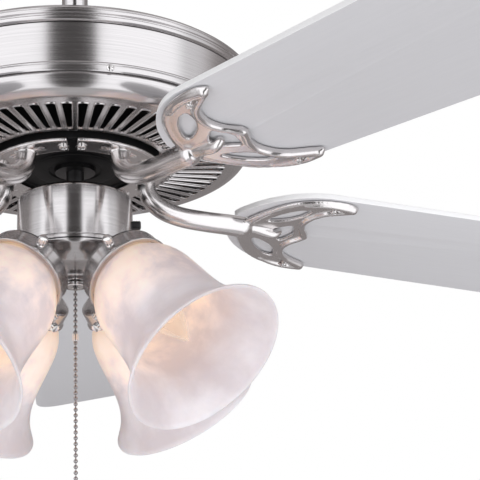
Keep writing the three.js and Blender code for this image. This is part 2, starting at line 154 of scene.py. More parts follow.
def lathe(profile, segments=96, flute=None):
    """Body of revolution about Z from [radius, z] pairs. flute changes the radius with the angle."""
    points, faces, rings = [], [], []
    for r, z in profile:
        if r < 1e-6:
            rings.append([len(points)] * segments)
            points.append(Vector((0, 0, z)))
            continue
        rings.append(list(range(len(points), len(points) + segments)))
        for k in range(segments):
            a = 2 * math.pi * k / segments
            reach = r * flute(a, r, z) if flute else r
            points.append(Vector((reach * math.cos(a), reach * math.sin(a), z)))
    pairs = list(zip(rings, rings[1:]))
    if profile[0][0] > 1e-6:
        pairs.append((rings[-1], rings[0]))
    for low, high in pairs:
        for k in range(segments):
            n = (k + 1) % segments
            face = [low[k], low[n], high[n], high[k]]
            face = [v for i, v in enumerate(face) if v != face[i - 1]]
            if len(face) > 2:
                faces.append(face)
    return points, faces


def tube(path, radii, sides=16):
    """Round bar along a path, with its own radius at each point and closed ends."""
    path = [Vector(p) for p in path]
    if not isinstance(radii, (list, tuple)):
        radii = [radii] * len(path)
    points, faces = [], []
    side = None
    for i, p in enumerate(path):
        along = (path[min(i + 1, len(path) - 1)] - path[max(i - 1, 0)]).normalized()
        if side is None:
            side = along.orthogonal().normalized()
        side = (side - along * side.dot(along)).normalized()
        other = along.cross(side)
        for k in range(sides):
            a = 2 * math.pi * k / sides
            points.append(p + radii[i] * (math.cos(a) * side + math.sin(a) * other))
    for i in range(len(path) - 1):
        for k in range(sides):
            n = (k + 1) % sides
            faces.append([i * sides + k, i * sides + n, (i + 1) * sides + n, (i + 1) * sides + k])
    faces.append(list(range(sides))[::-1])
    faces.append([len(points) - sides + k for k in range(sides)])
    return points, faces


def capsule(path, radii, sides=16):
    """A tube whose two ends are round."""
    path = [Vector(p) for p in path]
    radii = list(radii) if isinstance(radii, (list, tuple)) else [radii] * len(path)

    def cap(tip, inward, radius):
        steps = (0.05, 0.4, 0.75, 0.95)
        return [(tip - inward * radius * math.sqrt(1 - s * s), radius * s) for s in steps]

    first = cap(path[0], (path[1] - path[0]).normalized(), radii[0])
    last = cap(path[-1], (path[-2] - path[-1]).normalized(), radii[-1])[::-1]
    whole = first + list(zip(path, radii)) + last
    return tube([p for p, _ in whole], [r for _, r in whole], sides)


def from_mesh(mesh):
    return [v.co.copy() for v in mesh.vertices], [list(p.vertices) for p in mesh.polygons]


def evaluated(obj):
    """The shape of an object after its modifiers. The object is removed."""
    graph = bpy.context.evaluated_depsgraph_get()
    mesh = bpy.data.meshes.new_from_object(obj.evaluated_get(graph))
    shape = from_mesh(mesh)
    bpy.data.objects.remove(obj)
    bpy.data.meshes.remove(mesh)
    return shape


def linked(data, name="work"):
    obj = bpy.data.objects.new(name, data)
    bpy.context.scene.collection.objects.link(obj)
    return obj


def slab(outline, holes, low, high, edge):
    """Flat outline with holes, solid from low to high, with rounded edges."""
    curve = bpy.data.curves.new("outline", "CURVE")
    curve.dimensions = "2D"
    curve.fill_mode = "BOTH"
    curve.extrude = (high - low) / 2 - edge
    curve.bevel_depth = edge
    curve.bevel_resolution = 3
    curve.offset = -edge
    for loop in (outline, *holes):
        spline = curve.splines.new("POLY")
        spline.points.add(len(loop) - 1)
        for point, p in zip(spline.points, loop):
            point.co = (p[0], p[1], 0, 1)
        spline.use_cyclic_u = True
    return moved(evaluated(linked(curve)), Matrix.Translation((0, 0, (low + high) / 2)))


def raw_mesh(shape, name="work"):
    mesh = bpy.data.meshes.new(name)
    mesh.from_pydata([tuple(p) for p in shape[0]], [], shape[1])
    tidy = bmesh.new()
    tidy.from_mesh(mesh)
    bmesh.ops.remove_doubles(tidy, verts=tidy.verts, dist=1e-4)
    bmesh.ops.recalc_face_normals(tidy, faces=tidy.faces)
    tidy.to_mesh(mesh)
    tidy.free()
    return mesh


def cast(shape, voxel, smoothing):
    """One smooth skin round overlapping shapes, like a casting."""
    obj = linked(raw_mesh(shape))
    remesh = obj.modifiers.new("skin", "REMESH")
    remesh.mode = "VOXEL"
    remesh.voxel_size = voxel
    smooth = obj.modifiers.new("soften", "SMOOTH")
    smooth.factor = 0.5
    smooth.iterations = smoothing
    return evaluated(obj)


def carved(shape, cutter):
    obj, tool = linked(raw_mesh(shape)), linked(raw_mesh(cutter))
    carve = obj.modifiers.new("carve", "BOOLEAN")
    carve.operation = "DIFFERENCE"
    carve.solver = "EXACT"
    carve.object = tool
    result = evaluated(obj)
    bpy.data.objects.remove(tool)
    return result


def block(size, centre, edge=0.4):
    sx, sy, sz = (s / 2 for s in size)
    outline = rounded([(sx, sy), (-sx, sy), (-sx, -sy), (sx, -sy)], min(1.6, sx * 0.8, sy * 0.8), 4, True)
    return moved(slab(outline, [], -sz, sz, edge), Matrix.Translation(centre))


def screw_head(radius, height):
    """Domed head with a cross recess, standing on z = 0 and facing +Z."""
    rings = [0, 0.12, 0.24, 0.36, 0.48, 0.6, 0.74, 0.88, 0.97, 1]
    segments = 32
    points, faces = [], []
    for level, share in enumerate(rings):
        dome = height * math.sqrt(max(0, 1 - (share * 0.94) ** 2)) if share < 1 else 0
        for k in range(segments):
            a = 2 * math.pi * k / segments
            x, y = share * math.cos(a), share * math.sin(a)
            in_cross = share < 0.62 and min(abs(x), abs(y)) < 0.13
            points.append(Vector((radius * x, radius * y, dome - (0.55 * height if in_cross else 0))))
    for level in range(len(rings) - 1):
        for k in range(segments):
            n = (k + 1) % segments
            inner, outer = level * segments, (level + 1) * segments
            faces.append([inner + k, inner + n, outer + n, outer + k])
    faces.append([(len(rings) - 1) * segments + k for k in range(segments)])
    return points, faces


def facing(direction, place):
    """Matrix that puts a shape's +Z along a direction at a place."""
    return Matrix.Translation(place) @ Vector(direction).to_track_quat("Z", "Y").to_matrix().to_4x4()


# ---------------------------------------------------------------- making pieces
def piece(name, shape, material, body, stands_for=(), place=None, sharp=32):
    """One visible piece, in metres, riding on a CAD body. place is a matrix in millimetres."""
    mesh = raw_mesh(shape, name)
    mesh.transform(Matrix.Scale(MM, 4))
    return piece_of(name, mesh, material, body, stands_for, place, sharp)


def piece_of(name, mesh, material, body, stands_for=(), place=None, sharp=32):
    mesh.shade_smooth()
    mesh.set_sharp_from_angle(angle=math.radians(sharp))
    obj = linked(mesh, name)
    if place is not None:
        shift = Matrix.Translation(place.translation * MM)
        obj.matrix_world = shift @ place.to_3x3().to_4x4()
    if not mesh.materials:
        mesh.materials.append(material)
    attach(obj, body)
    if stands_for:
        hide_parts(*stands_for)
    return obj


def keep(names, material):
    """CAD nodes that stay, with a material of their own."""
    for name in names:
        nodes[name].data.materials.clear()
        nodes[name].data.materials.append(material)


# ---------------------------------------------------------------- materials
def new_material(name):
    material = bpy.data.materials.new(name)
    material.use_nodes = True
    return material, material.node_tree, material.node_tree.nodes["Principled BSDF"]


def add_node(tree, kind, inputs=None, **settings):
    made = tree.nodes.new(kind)
    for key, value in settings.items():
        setattr(made, key, value)
    for key, value in (inputs or {}).items():
        if isinstance(value, bpy.types.NodeSocket):
            tree.links.new(value, made.inputs[key])
        else:
            made.inputs[key].default_value = value
    return made


def object_place(tree):
    return add_node(tree, "ShaderNodeTexCoord").outputs["Object"]


def maths(tree, operation, a, b=0.0):
    return add_node(tree, "ShaderNodeMath", {0: a, 1: b}, operation=operation).outputs[0]


def noise(tree, vector, scale, detail=3.0, roughness=0.5, w=None):
    values = {"Vector": vector, "Scale": scale, "Detail": detail, "Roughness": roughness}
    if w is None:
        return add_node(tree, "ShaderNodeTexNoise", values).outputs["Fac"]
    return add_node(tree, "ShaderNodeTexNoise", {**values, "W": w}, noise_dimensions="4D").outputs["Fac"]


def spread(tree, value, low, high, from_low=0.0, from_high=1.0):
    inputs = {"Value": value, "From Min": from_low, "From Max": from_high, "To Min": low, "To Max": high}
    return add_node(tree, "ShaderNodeMapRange", inputs).outputs[0]


def blend_colours(tree, factor, low, high):
    made = add_node(tree, "ShaderNodeMix", {"Factor": factor}, data_type="RGBA")
    for socket, value in ((made.inputs[6], low), (made.inputs[7], high)):
        if isinstance(value, bpy.types.NodeSocket):
            tree.links.new(value, socket)
        else:
            socket.default_value = (*value, 1)
    return made.outputs[2]


def bump(tree, shader, height, distance, strength=1.0):
    made = add_node(tree, "ShaderNodeBump", {"Height": height, "Distance": distance, "Strength": strength})
    tree.links.new(made.outputs[0], shader.inputs["Normal"])


def around_axis(tree, place, fineness):
    """Coordinates that change slowly round the Z axis and quickly along and across it: brush lines."""
    split = add_node(tree, "ShaderNodeSeparateXYZ", {0: place})
    x, y, z = split.outputs
    squares = maths(tree, "ADD", maths(tree, "MULTIPLY", x, x), maths(tree, "MULTIPLY", y, y))
    radius = maths(tree, "SQRT", squares)
    safe = maths(tree, "MAXIMUM", radius, 1e-4)
    vector = add_node(tree, "ShaderNodeCombineXYZ", {
        0: maths(tree, "DIVIDE", x, safe),
        1: maths(tree, "DIVIDE", y, safe),
        2: maths(tree, "MULTIPLY", z, fineness),
    })
    return vector.outputs[0], maths(tree, "MULTIPLY", radius, fineness)


def turned_metal(name, colour, roughness, anisotropy=0.5, line_depth=0.000002):
    """Metal brushed in rings about its own Z axis."""
    material, tree, shader = new_material(name)
    place = object_place(tree)
    vector, w = around_axis(tree, place, 900)
    lines = noise(tree, vector, 1.6, 2, 0.6, w)
    patches = noise(tree, place, 18, 3)
    shader.inputs["Metallic"].default_value = 1
    shader.inputs["Anisotropic"].default_value = anisotropy
    shader.inputs["Anisotropic Rotation"].default_value = 0.25
    dark = tuple(c * 0.86 for c in colour)
    brushed = blend_colours(tree, spread(tree, lines, 0, 1, 0.3, 0.7), dark, colour)
    tree.links.new(brushed, shader.inputs["Base Color"])
    line_part = spread(tree, lines, -0.05, 0.05)
    patch_part = spread(tree, patches, roughness - 0.03, roughness + 0.03)
    rough = maths(tree, "ADD", line_part, patch_part)
    tree.links.new(rough, shader.inputs["Roughness"])
    tangent = add_node(tree, "ShaderNodeTangent", direction_type="RADIAL", axis="Z")
    tree.links.new(tangent.outputs[0], shader.inputs["Tangent"])
    bump(tree, shader, lines, line_depth, 0.35)
    return material


def plain_metal(name, colour, roughness, grain=260, depth=0.00004, variation=0.12):
    """Cast or stamped metal with a fine uneven skin."""
    material, tree, shader = new_material(name)
    place = object_place(tree)
    fine = noise(tree, place, grain, 4, 0.6)
    broad = noise(tree, place, 25, 3)
    shader.inputs["Metallic"].default_value = 1
    dark = tuple(c * (1 - variation) for c in colour)
    tree.links.new(blend_colours(tree, broad, dark, colour), shader.inputs["Base Color"])
    tree.links.new(spread(tree, fine, roughness - 0.05, roughness + 0.07), shader.inputs["Roughness"])
    bump(tree, shader, fine, depth, 0.3)
    return material


def moulded(name, colour, roughness, grain=900, depth=0.00004, variation=0.15, specular=0.5):
    """Moulded plastic, rubber or paint."""
    material, tree, shader = new_material(name)
    place = object_place(tree)
    fine = noise(tree, place, grain, 3)
    broad = noise(tree, place, 40, 3)
    dark = tuple(c * (1 - variation) for c in colour)
    tree.links.new(blend_colours(tree, broad, dark, colour), shader.inputs["Base Color"])
    tree.links.new(spread(tree, broad, roughness - 0.06, roughness + 0.06), shader.inputs["Roughness"])
    shader.inputs["Specular IOR Level"].default_value = specular
    bump(tree, shader, fine, depth, 0.4)
    return material


def blade_laminate():
    """Smooth pale grey laminate with a barely visible long grain."""
    material, tree, shader = new_material("blade_laminate")
    place = object_place(tree)
    stretched = add_node(tree, "ShaderNodeMapping", {0: place, "Scale": (3, 70, 70)}).outputs[0]
    grain = noise(tree, stretched, 6, 5, 0.6)
    clouds = noise(tree, place, 5, 2)
    low, high = (0.63, 0.63, 0.65), (0.66, 0.66, 0.68)
    first = blend_colours(tree, spread(tree, grain, 0, 1, 0.25, 0.75), low, high)
    colour = blend_colours(tree, spread(tree, clouds, 0, 0.35), first, high)
    tree.links.new(colour, shader.inputs["Base Color"])
    tree.links.new(spread(tree, grain, 0.38, 0.5), shader.inputs["Roughness"])
    shader.inputs["Specular IOR Level"].default_value = 0.4
    bump(tree, shader, grain, 0.00003, 0.4)
    return material


GLOW_PLACE = 0.03  # how far along the shade its bulb is brightest, in metres
# Reach of the painted glow round GLOW_PLACE, in metres.
GLOW_REACH = 0.056


def alabaster_glass():
    """Frosted glass with soft swirls. The bulb's light comes partly from a real point light and subsurface
    scattering, and partly from painted glow: emission over the whole glass, warmer and stronger near the
    bulb.
    """
    material, tree, shader = new_material("alabaster_glass")
    place = object_place(tree)
    twist = noise(tree, place, 9, 2)
    warped = add_node(tree, "ShaderNodeVectorMath", {0: place}, operation="ADD")
    offset = add_node(tree, "ShaderNodeCombineXYZ", {
        0: maths(tree, "MULTIPLY", twist, 0.06), 1: maths(tree, "MULTIPLY", twist, -0.05), 2: 0.0})
    tree.links.new(offset.outputs[0], warped.inputs[1])
    swirl = noise(tree, warped.outputs[0], 26, 5, 0.55)
    wisps = spread(tree, swirl, 0, 1, 0.38, 0.66)
    colour = blend_colours(tree, wisps, (0.66, 0.615, 0.64), (0.80, 0.76, 0.785))
    tree.links.new(colour, shader.inputs["Base Color"])
    shader.inputs["Roughness"].default_value = 0.3
    shader.inputs["Subsurface Weight"].default_value = 0.7
    shader.inputs["Subsurface Radius"].default_value = (1, 0.75, 0.6)
    shader.inputs["Subsurface Scale"].default_value = 0.006
    # Painted glow: emission that is faint everywhere and peach within GLOW_REACH of the bulb's place stands
    # in for the bulb's light shining through the glass.
    centre = add_node(tree, "ShaderNodeVectorMath", {0: place, 1: (0, 0, GLOW_PLACE)}, operation="DISTANCE")
    near = spread(tree, centre.outputs["Value"], 1, 0, 0.041, GLOW_REACH)
    soft = maths(tree, "MULTIPLY", near, spread(tree, swirl, 0.2, 1.5, 0.36, 0.64))
    glow = blend_colours(tree, soft, (0.95, 0.82, 0.80), (1.0, 0.66, 0.34))
    tree.links.new(glow, shader.inputs["Emission Color"])
    tree.links.new(spread(tree, soft, 0.05, 0.33), shader.inputs["Emission Strength"])
    bump(tree, shader, swirl, 0.0006, 0.25)
    return material


def clear_bulb():
    """Thin clear glass: see-through with reflections, brighter towards its edges."""
    material, tree, shader = new_material("clear_bulb")
    place = object_place(tree)
    ripple = noise(tree, place, 30, 2)
    see_through = add_node(tree, "ShaderNodeBsdfTransparent", {"Color": (1, 0.97, 0.92, 1)})
    shader.inputs["Base Color"].default_value = (1, 0.95, 0.88, 1)
    shader.inputs["Roughness"].default_value = 0.05
    shader.inputs["Emission Color"].default_value = (1, 0.72, 0.42, 1)
    shader.inputs["Emission Strength"].default_value = 0.03
    edge = add_node(tree, "ShaderNodeLayerWeight", {"Blend": 0.35})
    rim_part = maths(tree, "MULTIPLY", edge.outputs["Facing"], 0.5)
    amount = maths(tree, "ADD", rim_part, spread(tree, ripple, 0.1, 0.2))
    mix = add_node(tree, "ShaderNodeMixShader", {0: amount, 1: see_through.outputs[0], 2: shader.outputs[0]})
    tree.links.new(mix.outputs[0], tree.nodes["Material Output"].inputs["Surface"])
    bump(tree, shader, ripple, 0.0003, 0.3)
    return material


def lit_filament():
    material, tree, shader = new_material("lit_filament")
    place = object_place(tree)
    flicker = noise(tree, place, 300, 2)
    shader.inputs["Base Color"].default_value = (1, 0.8, 0.5, 1)
    shader.inputs["Emission Color"].default_value = (1, 0.84, 0.66, 1)
    tree.links.new(spread(tree, flicker, 0.9, 1.3), shader.inputs["Emission Strength"])
    return material


NICKEL_COLOUR = (0.68, 0.66, 0.66)
nickel = turned_metal("brushed_nickel", NICKEL_COLOUR, 0.2)
cast_nickel = plain_metal("satin_cast_nickel", (0.78, 0.755, 0.75), 0.2, 200, 0.00001, 0.08)
bead_nickel = plain_metal("bead_nickel", (0.46, 0.44, 0.44), 0.16, 400, 0.00001, 0.1)
bright_nickel = plain_metal("bright_nickel", (0.86, 0.845, 0.84), 0.12, 400, 0.00001, 0.06)
zinc = plain_metal("zinc_plate", (0.56, 0.56, 0.58), 0.38, 180, 0.00008, 0.3)
laminations = turned_metal("stator_laminations", (0.42, 0.42, 0.43), 0.4, 0.3, 0.0001)
copper = turned_metal("copper_winding", (0.62, 0.28, 0.14), 0.35, 0.3, 0.0002)
brass = turned_metal("lamp_base_brass", (0.72, 0.55, 0.28), 0.3, 0.3, 0.00005)
dark_steel = plain_metal("dark_oiled_steel", (0.10, 0.098, 0.1), 0.34, 180, 0.00006, 0.3)
black_paint = moulded("black_satin_paint", (0.006, 0.006, 0.0065), 0.5, specular=0.25)
black_plastic = moulded("black_plastic", (0.014, 0.014, 0.015), 0.36, 1200, 0.00003)
rubber = moulded("black_rubber", (0.03, 0.03, 0.031), 0.75, 700, 0.0001, 0.3)
lamp_holder = moulded("white_lamp_holder", (0.84, 0.81, 0.76), 0.45, 900, 0.00003, 0.06)
laminate = blade_laminate()
# Painted highlight: a lighter copy of the blade colour for the blades' side faces, so their edges look
# brightly lit.
painted_highlight_sides = moulded("painted_highlight_blade_sides", (0.9, 0.9, 0.9), 0.4, 500, 0.00002, 0.03)
alabaster = alabaster_glass()
bulb_glass = clear_bulb()
filament_glow = lit_filament()


# ---------------------------------------------------------------- ceiling hanger
def make_hanger():
    r, low = CANOPY_R, CANOPY_BOTTOM
    side = rounded([
        (r, -1), (r, -26), (r - 3, -40), (r - 8, -50), (r - 18, -59), (r - 33, low + 2), (20, low),
    ], 9)
    cover = lathe(sheet_profile(side, -SHEET), 128)
    piece("canopy_cover", cover, nickel, "ceiling_mount", ["canopy"])
    for i, way in enumerate((1, -1)):
        head = screw_head(4, 2.8)
        seat = facing((0, way, 0), (0, way * (CANOPY_R + GAP), CANOPY_SCREW_Z))
        shank = tube([(0, way * 48, CANOPY_SCREW_Z), (0, way * (CANOPY_R + 0.6), CANOPY_SCREW_Z)], 1.9)
        piece(f"canopy_thumb_{i + 1}", merged(moved(head, seat), shank), bright_nickel, "ceiling_mount",
              [f"canopy_screw_{i + 1}"])
    first, last = math.asin(-16 / BALL_R), math.acos(BALL_BORE / BALL_R)
    arc = [(BALL_R * math.cos(a), BALL_Z - BALL_R * math.sin(a))
           for a in (first + (last - first) * k / 20 for k in range(21))]
    crown = BALL_Z + 16
    piece("hanger_ball_rubber", lathe([(BALL_BORE, crown), *arc], 72), rubber, "ball", ["hanger_ball"])
    keep(["hanger_bracket", "ball_pin"], zinc)


def make_downrod():
    bore, r = ROD_BORE, ROD_R
    profile = rounded([(bore, ROD_TOP), (r, ROD_TOP), (r, ROD_BOTTOM), (bore, ROD_BOTTOM)], 0.5, 3, True)
    piece("downrod_pipe", lathe(profile, 64), nickel, "fan_frame", ["downrod"])
    side = rounded([(ROD_R + 0.6, -118), (19, -119.5), (25, -127), (28, -140), (29, COVER_TOP_Z + GAP)], 6, 6)
    skirt = lathe(sheet_profile(side, 1.2), 96)
    piece("coupling_skirt", skirt, nickel, "fan_frame", ["coupling_cover"])
    keep(["yoke", "clevis_pin"], zinc)
    top, bottom = ROD_BOTTOM - GAP - 1, CUP_TOP - 6
    corners = [(SHAFT_BORE, bottom), (SHAFT_R, bottom), (SHAFT_R, top), (SHAFT_BORE, top)]
    shaft = lathe(rounded(corners, 0.6, 3, True), 48)
    piece("hollow_shaft", shaft, dark_steel, "fan_frame", ["motor_shaft"])


# ---------------------------------------------------------------- motor housing
HOUSING_SEGMENTS = 256
BEAD_SCREW_Z = -220.7


def make_housing_top():
    rim = RIM_R
    outer = [
        (SHAFT_R + GAP, COVER_TOP_Z), (34, COVER_TOP_Z), (110, -164.5), (142, -172.8), (rim - 0.6, RIM_Z),
        (rim - 0.1, RIM_Z - 1.5), (rim - 0.7, RIM_Z - 1.9), (rim, RIM_Z - 2.3), (rim, RIM_Z - 4.8),
        (rim - 1.3, RIM_Z - 5.2), (rim - 1.5, RIM_Z - 6.4), (rim - 0.5, RIM_Z - 7), (rim - 0.7, RIM_Z - 9.6),
        (rim - 2.6, BAND_TOP + GAP),
    ]
    inner = [(rim - 3.4, BAND_TOP + GAP), (rim - 3.4, RIM_Z - 2), (rim - 6, RIM_Z + 0.6), (110, -166),
             (34, COVER_TOP_Z - SHEET), (SHAFT_R + GAP, COVER_TOP_Z - SHEET)]
    shape = lathe(rounded(outer, 0.5, 3) + inner, HOUSING_SEGMENTS)
    piece("motor_housing_top", shape, nickel, "fan_frame", ["housing_top"], sharp=28)


def make_housing_band():
    seam = SEAM_Z + GAP / 2
    outer = [
        (142.8, BAND_TOP + 0.1), (143.9, BAND_TOP - 0.3), (140.7, -215.9), (141.2, -216.7), (142.2, -217.2),
        (142.2, -218.1), (141.6, -218.5), (142.1, -218.9), (142.1, -222.5), (141.4, seam),
    ]
    inner = [(139.2, seam), (139.2, -217), (142.4, BAND_TOP)]
    shape = lathe(rounded(outer, 0.4, 3) + inner, HOUSING_SEGMENTS)
    piece("motor_housing_band", shape, nickel, "fan_frame", ["housing_band"], sharp=28)
    for i, degrees in enumerate((-80, 40, 160)):
        head = turned(moved(screw_head(2.7, 1.5), facing((1, 0, 0), (142.1, 0, BEAD_SCREW_Z))), degrees)
        shank = turned(tube([(136, 0, BEAD_SCREW_Z), (142.3, 0, BEAD_SCREW_Z)], 1.3), degrees)
        piece(f"housing_bead_screw_{i + 1}", merged(head, shank), bright_nickel, "fan_frame",
              [f"housing_screw_{i + 1}"])


def pan_height(r):
    """Height of the vented part of the pan's underside at a radius: a very shallow cone."""
    return PAN_Z + 2 * max(0, (r - PAN_HOLE_R)) / (130 - PAN_HOLE_R)


def slot_outline(grow):
    """One vent slot, larger all round by grow: [radius, sideways] pairs, wide end first."""
    out, into = SLOT_OUT + grow, SLOT_IN - grow
    wide, narrow = 3.4 + grow, 1.75 + grow
    corner = 2.0 + 0.5 * grow
    half_end = [(out - corner, wide), (out - 0.3 * corner, wide - 0.3 * corner), (out, wide - corner)]
    far = half_end + [(out, 0)] + [(x, -y) for x, y in half_end[::-1]]
    near = []
    for k in range(7):
        a = math.radians(-90 - 30 * k)
        near.append((into + narrow + narrow * math.cos(a), narrow * math.sin(a)))
    side = []
    for k in range(1, 9):
        t = k / 9
        side.append((far[-1][0] + (near[0][0] - far[-1][0]) * t, -(wide + (narrow - wide) * t)))
    return far + side + near + [(x, -y) for x, y in side[::-1]]


PAN_INNER, PAN_OUTER = PAN_HOLE_R + 0.6, 125


def sector_outline():
    """Edge of the pan's sheet round one slot, point for point with slot_outline."""
    half = math.pi / SLOTS
    far = [(PAN_OUTER, half * (1 - k / 3)) for k in range(7)]
    side = [(PAN_OUTER + (PAN_INNER - PAN_OUTER) * k / 9, -half) for k in range(1, 9)]
    near = [(PAN_INNER, half * (k / 3 - 1)) for k in range(7)]
    back = [(r, -a) for r, a in side[::-1]]
    return [(r * math.cos(a), r * math.sin(a)) for r, a in far + side + near + back]


def vented_ring():
    """The pan's flat ring with a raised rim round every slot, before it gets its thickness."""
    rings = [(slot_outline(0), -0.75), (slot_outline(0.75), -0.75), (slot_outline(1.15), 0)]
    points, faces = [], []
    for outline, lift in rings:
        points += [Vector((x, y, pan_height(math.hypot(x, y)) + lift)) for x, y in outline]
    points += [Vector((x, y, pan_height(math.hypot(x, y)))) for x, y in sector_outline()]
    count = len(rings[0][0])
    for level in range(3):
        for k in range(count):
            n = (k + 1) % count
            low, high = level * count, (level + 1) * count
            faces.append([low + k, low + n, high + n, high + k])
    sectors = [turned((points, faces), 360 / SLOTS * (k + 0.5)) for k in range(SLOTS)]
    return merged(*sectors)


def open_lathe(line, segments):
    """Surface of revolution of an open line."""
    points, faces = lathe(line, segments)
    last = (len(line) - 1) * segments
    return points, [f for f in faces if not (min(f) < segments and max(f) >= last)]


def make_housing_pan():
    segments = SLOTS * 6
    edge = pan_height(PAN_OUTER)
    shoulder = rounded([
        (PAN_OUTER, edge), (130, -238), (136.6, -234.6), (139.8, -229), (SEAM_R, SEAM_Z - GAP / 2),
    ], 4.5, 6)
    lip = [(PAN_INNER, pan_height(PAN_INNER)), (PAN_INNER - 0.2, PAN_Z + 0.6), (PAN_INNER - 0.3, PAN_Z + 2.6)]
    shape = merged(vented_ring(), open_lathe(shoulder, segments), open_lathe(lip, segments))
    mesh = raw_mesh(shape, "motor_housing_pan")
    if sum(face.normal.z * face.area for face in mesh.polygons) > 0:
        mesh.flip_normals()
    mesh.transform(Matrix.Scale(MM, 4))
    pan = piece_of("motor_housing_pan", mesh, nickel, "fan_frame", ["housing_pan"], sharp=28)
    solid = pan.modifiers.new("sheet", "SOLIDIFY")
    solid.thickness = SHEET * MM
    solid.offset = -1


# ---------------------------------------------------------------- rotor, irons and blades
def make_rotor():
    r, hub, t = ROTOR_R, 16.3, 3
    low = ROTOR_BOTTOM
    outer = rounded([
        (hub, ROTOR_TOP), (r - 4, ROTOR_TOP), (r, ROTOR_TOP - 4), (r, low + 0.2), (r - 3, low), (46, low),
        (45, low + 1.2), (34, low + 1.2), (33, low), (21, low), (20, low + 1), (hub, low + 1),
    ], 0.8, 3)
    inner = [
        (hub, low + t), (r - t, low + t), (r - t, ROTOR_TOP - 5), (r - 6, ROTOR_TOP - t),
        (hub, ROTOR_TOP - t),
    ]
    drum = lathe(outer + [Vector(p) for p in inner], 128)
    piece("rotor_drum", drum, black_paint, "rotor", ["rotor_shell"])
    keep(["bearing_upper", "bearing_lower"], dark_steel)
    keep(["stator_core"], laminations)
    keep(["winding_upper", "winding_lower"], copper)


def blade_frame(index):
    return Matrix.Rotation(math.radians(FIRST_AZIMUTH + 360 / BLADES * index), 4, "Z")


LEAF_FRAME = (Matrix.Translation((DROOP_R, 0, LEAF_Z)) @ Matrix.Rotation(math.radians(BLADE_DROOP), 4, "Y")
              @ Matrix.Translation((-DROOP_R, 0, 0)) @ Matrix.Rotation(math.radians(-BLADE_PITCH), 4, "X"))

# Half of the leaf, from the neck round the horn to the middle point: [along the blade, across it].
LEAF_EDGE = [
    (139.5, 4.5), (143, 12), (148, 21), (155, 31.5), (164.5, 42.5), (176, 50.5), (188, 55.3),
    (201, 57.8), (214, 58), (222.5, 55.6), (225.6, 51.8), (219, 47.6), (210, 43.4), (201.5, 38.8),
    (195.6, 32), (192.4, 23), (193.8, 14), (198, 7.6), (202.6, 3.4),
]
SIDE_WINDOW = [
    (189.5, 41.5), (185.5, 30), (178, 22.5), (168, 17), (159, 14.4), (161.5, 21.5), (169.5, 31.5),
    (180, 39.6),
]
MIDDLE_WINDOW = [(170.5, 4.6), (176.5, 9.4), (184, 14), (187.8, 8), (190.8, 0)]
SCALLOP_RIDGE = [
    (201, 0), (197.6, 5.6), (192.4, 12.6), (189.8, 22), (192.6, 32.6), (200, 41.2), (210, 46.6), (221, 51.4),
]
HORN_RIDGE = [(180, 48), (192, 52.2), (206, 54), (220.6, 52.4)]
OUTER_RIDGE = [(146, 5), (148.4, 12.6), (153, 23), (161, 34), (171.6, 44), (186, 51.5)]
BLADE_SCREWS = [(203.8, 49.5), (203.8, -49.5)]


def mirror(points):
    return [(p[0], -p[1], *p[2:]) for p in points]


def leaf_ridge(points, radii, height, flip):
    """A raised line on the leaf whose radius goes from the first to the second of radii."""
    path = [(p.x, flip * p.y, height) for p in through(points, 5)]
    count = len(path) - 1
    sizes = [radii[0] + (radii[1] - radii[0]) * k / count for k in range(count + 1)]
    return capsule(path, sizes, 14)


def leaf_shape():
    """The openwork leaf in its own plane: z = 0 is its underside and ridges stand below it."""
    outline = through(LEAF_EDGE, 4)
    outline += [Vector((x, -y)) for x, y in outline[::-1]]
    side = rounded(SIDE_WINDOW, 3, 4, True)
    middle = rounded(MIDDLE_WINDOW + mirror(MIDDLE_WINDOW[:-1])[::-1], 2.6, 4, True)
    windows = [side, [(x, -y) for x, y in side], middle]
    parts = [slab(outline, windows, -0.2, LEAF_T - GAP, 0.9)]
    for flip in (1, -1):
        parts.append(leaf_ridge(SCALLOP_RIDGE, (2.8, 2.9), -0.4, flip))
        parts.append(leaf_ridge(HORN_RIDGE, (1.6, 3.7), -0.2, flip))
        parts.append(leaf_ridge(OUTER_RIDGE, (1.9, 1.3), 0.6, flip))
    nose = through([(146, 0, 1.5), (158, 0, -0.4), (166, 0, -2.2), (172.5, 0, -2.6), (176.6, 0, 0.6)], 5)
    sizes = [5.4 + (3.4 - 5.4) * k / (len(nose) - 1) for k in range(len(nose))]
    parts.append(capsule(nose, sizes, 18))
    return moved(merged(*parts), LEAF_FRAME)


def arm_shape():
    line = through([
        (59.6, 0, -243.9), (60.2, 0, -253), (64.4, 0, -262), (75, 0, -269.4),
        (91, 0, -273.6), (111, 0, -275.2), (130, 0, -275.8), (143, 0, -276.6),
    ], 6)
    count = len(line) - 1
    return capsule(line, [ARM_R - 0.2 + 1.5 * k / count for k in range(count + 1)], 24)


def foot_shape():
    half = math.radians(FOOT_HALF_ANGLE)
    angles = [half * (1 - k / 12) for k in range(25)]
    edge = [(FOOT_OUT * math.cos(a), FOOT_OUT * math.sin(a)) for a in angles]
    edge += [(FOOT_IN * math.cos(a), FOOT_IN * math.sin(a)) for a in angles[::-1]]
    top = ROTOR_BOTTOM - GAP
    rib = [(59.8 * math.cos(a), 59.8 * math.sin(a), top - FOOT_T + 0.6) for a in angles[7:18]]
    return merged(slab(rounded(edge, 1.5, 3, True), [], top - FOOT_T, top, 0.7), capsule(rib, 2.2, 10))


